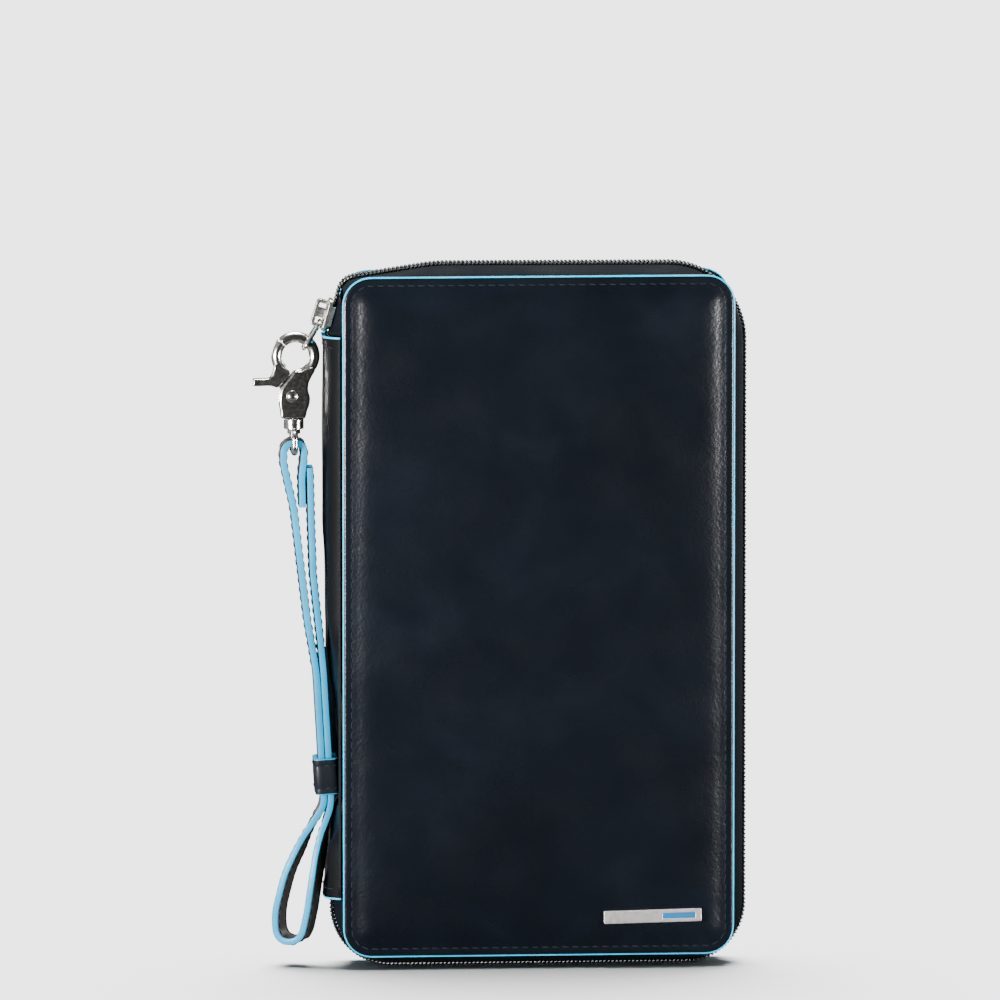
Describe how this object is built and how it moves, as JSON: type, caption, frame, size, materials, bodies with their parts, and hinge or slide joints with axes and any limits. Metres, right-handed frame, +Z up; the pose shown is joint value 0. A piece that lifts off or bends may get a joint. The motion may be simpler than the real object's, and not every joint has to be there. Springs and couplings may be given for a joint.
{
  "type": "zip-around travel wallet",
  "caption": "Upright zip-around leather travel wallet with painted edges, padded covers that open on a spine, inner pockets, and a wrist strap on a swivelling snap hook.",
  "frame": {"origin": "middle of the zip's bottom run, where the closed wallet stands", "axes": "+Z up along the spine, +X to the right seen from the front cover, +Y towards the back cover"},
  "size_m": [0.1619, 0.0271, 0.2326],
  "materials": {
    "navy_leather": "smooth semi-gloss",
    "blue_edge": "satin edge paint",
    "strap_leather": "satin",
    "foam": "soft foam",
    "board": "pressed board",
    "lining": "fine weave",
    "zip_tape": "woven tape",
    "zip_coil": "satin nylon",
    "nickel": "polished nickel",
    "spring_steel": "bright wire",
    "plate_steel": "polished",
    "inlay_blue": "gloss enamel"
  },
  "bodies": {
    "spine": {"spine_leather": "navy_leather", "spine_foot_paint": "blue_edge", "spine_head_paint": "blue_edge", "spine_stiffener": "board", "spine_lining": "lining", "upper_tape_end": "zip_tape", "lower_tape_end": "zip_tape", "upper_coil_end": "zip_coil", "lower_coil_end": "zip_coil", "upper_end_stop": "nickel", "lower_end_stop": "nickel"},
    "front_cover": {"front_cover_leather": "navy_leather", "front_edge_paint": "blue_edge", "front_foam_pad": "foam", "front_stiffener_board": "board", "front_lining": "lining", "front_zip_tape": "zip_tape", "front_zip_coil": "zip_coil", "slip_pocket": "navy_leather", "card_slot_1": "navy_leather", "card_slot_2": "navy_leather", "card_slot_3": "navy_leather", "card_slot_4": "navy_leather", "metal_plate": "plate_steel", "plate_inlay": "inlay_blue"},
    "back_cover": {"back_cover_leather": "navy_leather", "back_edge_paint": "blue_edge", "back_foam_pad": "foam", "back_stiffener_board": "board", "back_lining": "lining", "back_zip_tape": "zip_tape", "back_zip_coil": "zip_coil", "ticket_pocket": "navy_leather", "passport_sleeve": "navy_leather"},
    "slider": {"slider_body": "nickel", "slider_bridge": "nickel"},
    "link": {"pull_link": "nickel"},
    "hook": {"hook_body": "nickel", "hook_rivet": "nickel", "gate_spring": "spring_steel"},
    "gate": {"hook_gate": "nickel"},
    "swivel": {"swivel_eye": "nickel"},
    "strap": {"wrist_strap": "strap_leather"},
    "keeper": {"strap_keeper": "navy_leather"}
  },
  "joints": [
    {"name": "front_cover_hinge", "type": "hinge", "parent": "spine", "child": "front_cover", "pos_m": [-0.0645, -0.0114, 0.1165], "axis": [0, 0, -1], "range_deg": [0, 90]},
    {"name": "back_cover_hinge", "type": "hinge", "parent": "spine", "child": "back_cover", "pos_m": [-0.0645, 0.0114, 0.1165], "axis": [0, 0, 1], "range_deg": [0, 90]},
    {"name": "slider_travel", "type": "slide", "parent": "spine", "child": "slider", "axis": [0.2888, 0, 0.9574], "range_m": [0, 0.0013]},
    {"name": "link_swing", "type": "hinge", "parent": "slider", "child": "link", "pos_m": [-0.07102, 0, 0.21328], "axis": [0, 1, 0], "range_deg": [0, 70]},
    {"name": "hook_swing", "type": "hinge", "parent": "link", "child": "hook", "pos_m": [-0.07643, 0, 0.20449], "axis": [0, 1, 0], "range_deg": [0, 40]},
    {"name": "gate_lever", "type": "hinge", "parent": "hook", "child": "gate", "pos_m": [-0.0803, 0, 0.1889], "axis": [0, -1, 0], "range_deg": [0, 22], "stiffness_Nm_per_rad": 0.01, "springref_deg": -17.19},
    {"name": "swivel_turn", "type": "hinge", "parent": "hook", "child": "swivel", "pos_m": [-0.0797, 0, 0.18], "axis": [0, 0, 1], "continuous": true},
    {"name": "strap_swing", "type": "hinge", "parent": "swivel", "child": "strap", "pos_m": [-0.0797, 0, 0.1707], "axis": [0, 1, 0], "range_deg": [0, 45]},
    {"name": "keeper_slide", "type": "slide", "parent": "strap", "child": "keeper", "axis": [-0.0567, 0, 0.9984], "range_m": [0, 0.018]}
  ]
}
